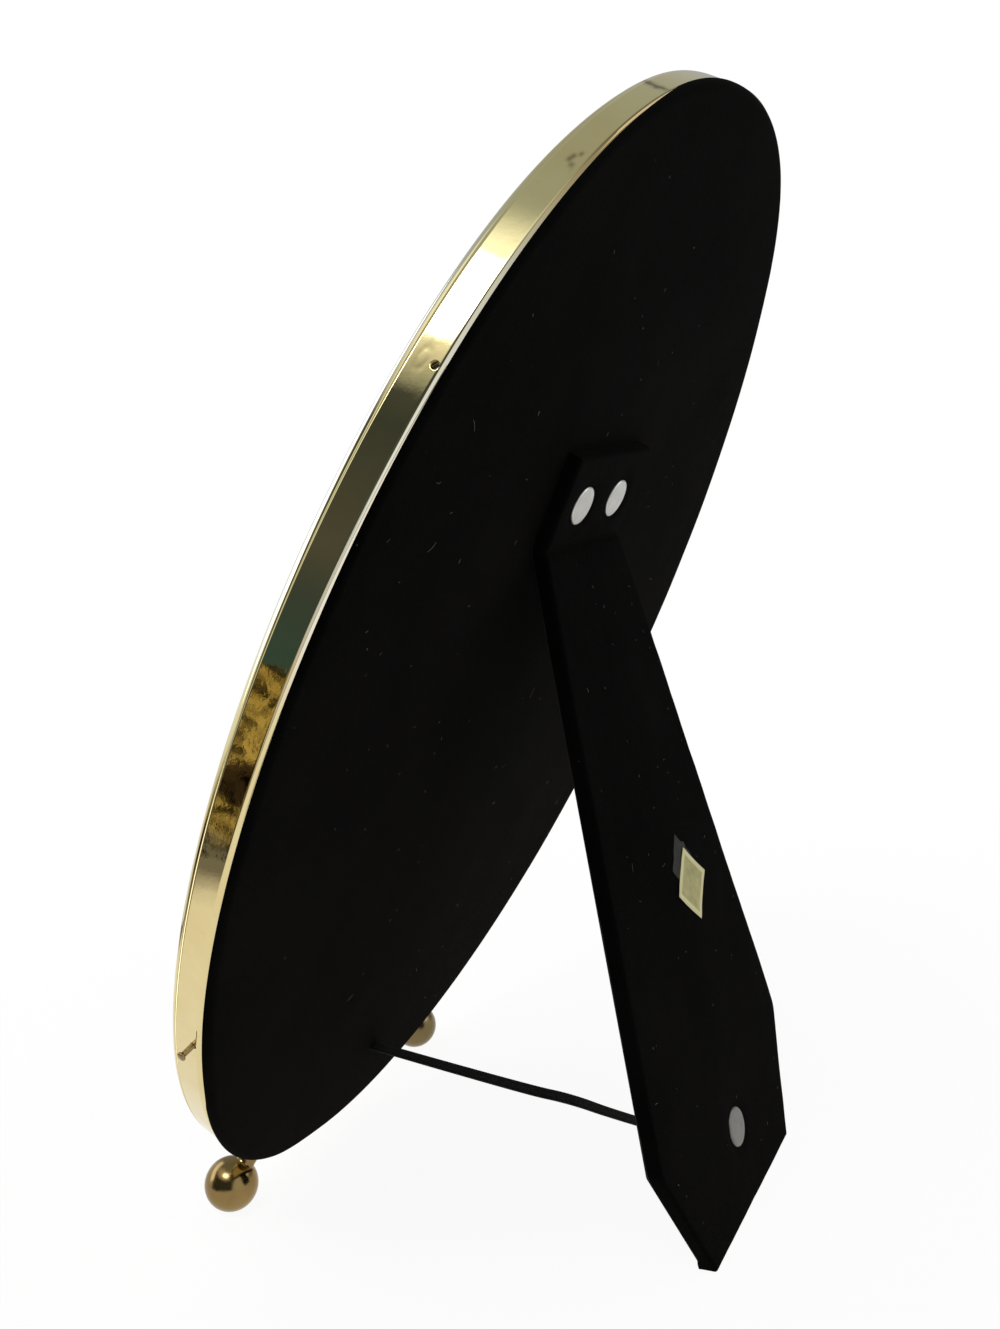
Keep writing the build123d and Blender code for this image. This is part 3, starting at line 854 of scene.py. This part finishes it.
# Glue mark where the label once sat, a little higher
GLUE_SIDE = -5.4
GLUE_DROP = LABEL_DROP - 4.6
GLUE_STEPS = 48


def fan_faces(steps):
    """Triangles from a first point to the ring of points that follows it."""
    return [(0, 1 + k, 1 + (k + 1) % steps) for k in range(steps)]


verts = [leg(GLUE_SIDE, GLUE_DROP, LEG_OUT + 0.1)]
for k in range(GLUE_STEPS):
    a = 2 * math.pi * k / GLUE_STEPS
    r = 4.5 / (abs(math.cos(a)) + abs(math.sin(a))) ** 0.8
    p = leg(GLUE_SIDE + r * math.cos(a), GLUE_DROP - r * math.sin(a) * 1.1, LEG_OUT + 0.09)
    verts.append(p + (p - verts[0]) * lumps(p, 1.6, 0.18, 5.0))
new_object("glue_mark", verts, fan_faces(GLUE_STEPS), GLUE, "leg")


# Lint on the velvet
def fibre(verts, faces, place, rng, longest):
    """One curled hair of lint; place maps (across, along, height) to a point."""
    turn = rng.uniform(0, math.pi)
    long = rng.uniform(0.25, longest)
    bend = rng.uniform(-0.35, 0.35)
    thick = rng.uniform(0.018, 0.04)
    start = len(verts)
    for k in range(7):
        s = k / 6 - 0.5
        u = s * long
        v = bend * long * (4 * s * s - 1) * 0.5
        cx = u * math.cos(turn) - v * math.sin(turn)
        cy = u * math.sin(turn) + v * math.cos(turn)
        for c in range(5):
            a = 2 * math.pi * c / 5
            off = thick * math.cos(a)
            x, y = cx - off * math.sin(turn), cy + off * math.cos(turn)
            verts.append(place(x, y, 0.05 + thick * math.sin(a)))
    faces += [tuple(i + start for i in face) for face in grid_faces(7, 5, wrap_cols=True)]


LINT_REAR = VELVET_REAR + 0.17
LINT_LEG = LEG_OUT + 0.05
rng = random.Random(7)
verts, faces = [], []
for k in range(120):
    a = rng.uniform(0, 2 * math.pi)
    r = math.sqrt(rng.random()) * 0.96
    cx, cy = 70 * r * math.cos(a), 99 * r * math.sin(a)
    under_leg = abs(cx) < 22 and FOLD_HEIGHT - 32 < cy < FOLD_HEIGHT + TAB_TOP + 2
    if under_leg:
        continue
    longest = 0.7 if k % 6 else 2.2
    fibre(verts, faces, lambda x, y, h: back(cx + x, cy + y, LINT_REAR + h), rng, longest)
new_object("lint_back", verts, faces, LINT, "frame")
verts, faces = [], []
for k in range(60):
    drop = rng.uniform(6, LEG_LENGTH - 3)
    cx = rng.uniform(-0.92, 0.92) * leg_half(drop)
    longest = 0.6 if k % 6 else 1.6
    fibre(verts, faces, lambda x, y, h: leg(cx + x, drop + y, LINT_LEG + h), rng, longest)
new_object("lint_leg", verts, faces, LINT, "leg")

# Ribbon stay, tight from its slit in the back to the leg, with one small crease
slit = back(0, -SLIT_DROP, VELVET_REAR)
route = [
    slit,
    Vector((0.0, -0.0030, 0.01386)),
    Vector((0.0, 0.0066, 0.01345)),
    Vector((0.0, 0.0160, 0.01152)),
    Vector((0.0, 0.0363024, 0.0089985)),
]
curve = bpy.data.curves.new("stay_line", "CURVE")
curve.dimensions = "3D"
spline = curve.splines.new("NURBS")
spline.points.add(len(route) - 1)
for point, p in zip(spline.points, route):
    point.co = (*p, 1.0)
spline.order_u = 3
spline.use_endpoint_u = True
spline.resolution_u = 16
line = bpy.data.objects.new("stay_line", curve)
bpy.context.scene.collection.objects.link(line)
bpy.context.view_layer.update()
path_mesh = bpy.data.meshes.new_from_object(line)
path = [v.co.copy() for v in path_mesh.vertices]
bpy.data.objects.remove(line)
RIBBON_HALF = 1.4
RIBBON_THICK = 0.4
verts = []
ring = [
    (-1.0, -0.3), (-1.0, 0.3), (-0.93, 0.5), (-0.5, 0.44), (0.0, 0.42), (0.5, 0.44), (0.93, 0.5),
    (1.0, 0.3), (1.0, -0.3), (0.93, -0.5), (0.5, -0.44), (0.0, -0.42), (-0.5, -0.44), (-0.93, -0.5),
]
for k, p in enumerate(path):
    along = (path[min(k + 1, len(path) - 1)] - path[max(k - 1, 0)]).normalized()
    twist = math.radians(5 * math.sin(5.0 * k / len(path)))
    side = (ACROSS * math.cos(twist) + along.cross(ACROSS) * math.sin(twist)).normalized()
    up = side.cross(along).normalized()
    for x, y in ring:
        verts.append(p + side * x * RIBBON_HALF * MM + up * y * RIBBON_THICK * MM)
stay = new_object("stay", verts, tube_faces(len(path), len(ring)), RIBBON, "frame")
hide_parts("stay_ribbon")
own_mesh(stay)

# Floor: a plain pale disc that keeps the shadow and runs out into the white surround
FLOOR_R = 0.28
FLOOR_STEPS = 120
floor_mat, tree, shader = material("floor")
coords = tree.nodes.new("ShaderNodeTexCoord")
length = tree.nodes.new("ShaderNodeVectorMath")
length.operation = "LENGTH"
link(tree, coords.outputs["Object"], length.inputs[0])
far = map_range(tree, length.outputs["Value"], 0.09, 0.25, 0.93, 1.0)
paths = tree.nodes.new("ShaderNodeLightPath")
rays = ("Is Camera Ray", "Is Glossy Ray", "Is Transmission Ray")
seen = any_of(tree, *(paths.outputs[ray] for ray in rays))
white = tree.nodes.new("ShaderNodeEmission")
white.inputs["Strength"].default_value = 1.0
ragged = math_node(tree, "SUBTRACT", noise_node(tree, coords.outputs["Object"], 16.0, 3.0, 0.5), 0.5)
ragged = math_node(tree, "MULTIPLY", ragged, 0.06)
outer = map_range(tree, math_node(tree, "ADD", length.outputs["Value"], ragged), 0.215, 0.262)
carpet = mix(tree, outer, (0.93, 0.90, 0.83), (0.20, 0.19, 0.16))
link(tree, mix(tree, paths.outputs["Is Glossy Ray"], (1.0, 1.0, 1.0), carpet), white.inputs["Color"])
blend_node = tree.nodes.new("ShaderNodeMixShader")
shader.inputs["Base Color"].default_value = (0.93, 0.93, 0.92, 1.0)
shader.inputs["Roughness"].default_value = 1.0
shader.inputs["Specular IOR Level"].default_value = 0.0
link(tree, math_node(tree, "MULTIPLY", far, seen), blend_node.inputs[0])
link(tree, shader.outputs[0], blend_node.inputs[1])
link(tree, white.outputs[0], blend_node.inputs[2])
link(tree, blend_node.outputs[0], tree.nodes["Material Output"].inputs["Surface"])
verts = [(0, 0, 0)]
for k in range(FLOOR_STEPS):
    a = 2 * math.pi * k / FLOOR_STEPS
    verts.append((FLOOR_R * math.cos(a), FLOOR_R * math.sin(a), 0))
floor = new_object("floor", verts, fan_faces(FLOOR_STEPS), floor_mat, None, shade=False)

# World: white to the camera, an even light, and a room for the brass to mirror
DAYLIGHT = (0.92, 0.95, 0.90)
world = bpy.data.worlds.new("studio")
bpy.context.scene.world = world
world.use_nodes = True
tree = world.node_tree
tree.nodes.clear()
output = tree.nodes.new("ShaderNodeOutputWorld")
paths = tree.nodes.new("ShaderNodeLightPath")
coords = tree.nodes.new("ShaderNodeTexCoord")
axes = tree.nodes.new("ShaderNodeSeparateXYZ")
link(tree, coords.outputs["Generated"], axes.inputs[0])
height = math_node(tree, "MULTIPLY_ADD", axes.outputs["Z"], 0.5)
height.node.inputs[2].default_value = 0.5


def along_axis(tree, axis):
    """How far a reflected direction points along one axis of the frame."""
    node = tree.nodes.new("ShaderNodeVectorMath")
    node.operation = "DOT_PRODUCT"
    node.inputs[1].default_value = tuple(axis)
    link(tree, coords.outputs["Generated"], node.inputs[0])
    return node.outputs["Value"]


grain = tree.nodes.new("ShaderNodeCombineXYZ")
link(tree, axes.outputs["X"], grain.inputs["X"])
link(tree, along_axis(tree, UP_BACK), grain.inputs["Y"])
link(tree, along_axis(tree, OUT_BACK * 3.4), grain.inputs["Z"])
patchwork = noise_node(tree, grain.outputs["Vector"], 11.0, 4.0, 0.65)
filigree = noise_node(tree, grain.outputs["Vector"], 30.0, 3.0, 0.6)
broken = math_node(tree, "MULTIPLY", math_node(tree, "SUBTRACT", patchwork, 0.5), 0.09)
broken = math_node(tree, "ADD", height, broken)
low_side = ramp(tree, broken, [
    (0.27, (0.30, 0.29, 0.26)), (0.30, (0.15, 0.15, 0.13)), (0.335, (0.17, 0.16, 0.13)),
    (0.36, (0.50, 0.36, 0.11)), (0.385, (0.03, 0.02, 0.01)), (0.42, (0.05, 0.03, 0.015)),
    (0.43, (0.50, 0.365, 0.115)), (0.51, (0.45, 0.33, 0.10)),
])
tracery = ramp(tree, filigree, [(0.42, grey(0.06)), (0.50, grey(0.45)), (0.57, grey(1.0))])
low_side = mix(tree, 1.0, low_side, tracery, "MULTIPLY")
low_side = mix(tree, map_range(tree, axes.outputs["Y"], -0.32, -0.22), low_side, (0.60, 0.59, 0.56))
high_side = ramp(tree, height, [
    (0.52, (0.04, 0.085, 0.09)), (0.60, (0.05, 0.07, 0.075)), (0.66, (0.085, 0.085, 0.075)),
    (0.80, (0.05, 0.06, 0.06)), (0.83, (0.07, 0.08, 0.08)), (0.848, (0.45, 0.48, 0.44)),
    (0.90, (0.95, 0.98, 0.90)), (0.965, (0.95, 0.98, 0.88)), (0.99, (0.40, 0.43, 0.40)),
])
near_side = mix(tree, map_range(tree, height, 0.519, 0.522), low_side, high_side)
far_side = ramp(tree, height, [
    (0.30, (0.92, 0.92, 0.90)), (0.46, (0.80, 0.80, 0.78)), (0.50, (0.36, 0.36, 0.36)),
    (0.75, (0.46, 0.47, 0.45)), (0.92, (0.40, 0.43, 0.40)),
])
room = mix(tree, map_range(tree, axes.outputs["X"], -0.05, 0.20), far_side, near_side)
window = map_range(tree, axes.outputs["Y"], -0.84, -0.68, 1.0, 0.0)
window = math_node(tree, "MULTIPLY", window, map_range(tree, axes.outputs["X"], -0.58, -0.42))
window = math_node(tree, "MULTIPLY", window, map_range(tree, height, 0.44, 0.52))
room = mix(tree, window, room, DAYLIGHT)
behind = map_range(tree, axes.outputs["Y"], 0.62, 0.78)
behind = math_node(tree, "MULTIPLY", behind, map_range(tree, height, 0.25, 0.32))
room = mix(tree, behind, room, DAYLIGHT)
mirrored = tree.nodes.new("ShaderNodeBackground")
link(tree, room, mirrored.inputs["Color"])
white = tree.nodes.new("ShaderNodeBackground")
white.inputs["Color"].default_value = (1.0, 1.0, 1.0, 1.0)
even = tree.nodes.new("ShaderNodeBackground")
even.inputs["Color"].default_value = (1.0, 1.0, 1.0, 1.0)
even.inputs["Strength"].default_value = 0.55
glossy = tree.nodes.new("ShaderNodeMixShader")
link(tree, paths.outputs["Is Glossy Ray"], glossy.inputs[0])
link(tree, even.outputs[0], glossy.inputs[1])
link(tree, mirrored.outputs[0], glossy.inputs[2])
direct = tree.nodes.new("ShaderNodeMixShader")
seen = any_of(tree, paths.outputs["Is Camera Ray"], paths.outputs["Is Transmission Ray"])
link(tree, seen, direct.inputs[0])
link(tree, glossy.outputs[0], direct.inputs[1])
link(tree, white.outputs[0], direct.inputs[2])
link(tree, direct.outputs[0], output.inputs["Surface"])


def soften(data, share):
    """Lets a lamp fade towards its edges; share is the part of its size that fades."""
    data.use_nodes = True
    tree = data.node_tree
    spot = tree.nodes.new("ShaderNodeNewGeometry")
    across = tree.nodes.new("ShaderNodeSeparateXYZ")
    link(tree, spot.outputs["Parametric"], across.inputs[0])
    fades = []
    for axis in ("X", "Y"):
        off = math_node(tree, "ABSOLUTE", math_node(tree, "SUBTRACT", across.outputs[axis], 0.5), 0.0)
        fades.append(map_range(tree, off, 0.5 - share, 0.5, 1.0, 0.0))
    link(tree, math_node(tree, "MULTIPLY", fades[0], fades[1]), tree.nodes["Emission"].inputs["Strength"])


def lamp(name, place, aim, width, length, power, roll=0.0, fade=0.0):
    data = bpy.data.lights.new(name, "AREA")
    data.shape = "RECTANGLE"
    data.size = width
    data.size_y = length
    data.energy = power
    if fade:
        soften(data, fade)
    obj = bpy.data.objects.new(name, data)
    bpy.context.scene.collection.objects.link(obj)
    aimed = (Vector(aim) - Vector(place)).to_track_quat("-Z", "Y").to_matrix()
    turned = aimed @ Matrix.Rotation(math.radians(roll), 3, "Z")
    obj.matrix_world = Matrix.Translation(place) @ turned.to_4x4()


NEAR_RIM = (0.055, 0.035, 0.155)
lamp("key", (0.525, -0.019, 0.922), NEAR_RIM, 0.48, 0.287, 5.2, fade=0.25)
lamp("halo", (0.495, -0.019, 0.94), NEAR_RIM, 1.0, 0.58, 1.25, fade=0.4)
lamp("front", (0.10, -0.92, 0.56), (0.05, 0.0, 0.12), 1.1, 0.4, 2.4, roll=-23.0)
lamp("fill", (-0.5, 0.75, 0.6), (0, 0, 0.08), 0.6, 0.6, 2.0)

# Camera, fitted to the photo
camera_data = bpy.data.cameras.new("camera")
camera_data.sensor_fit = "VERTICAL"
camera_data.sensor_height = 36.0
camera_data.lens = 33.689
camera_data.clip_start = 0.005
camera = bpy.data.objects.new("camera", camera_data)
bpy.context.scene.collection.objects.link(camera)
right = Vector((-0.466485, 0.877058, -0.114722))
up = Vector((-0.206807, 0.017959, 0.978217))
forward = Vector((-0.860013, -0.480049, -0.173004))
turn = Matrix((right, up, -forward)).transposed()
camera.matrix_world = Matrix.Translation((0.190517, 0.108728, 0.135366)) @ turn.to_4x4()
bpy.context.scene.camera = camera
bpy.context.scene.view_settings.view_transform = "Standard"
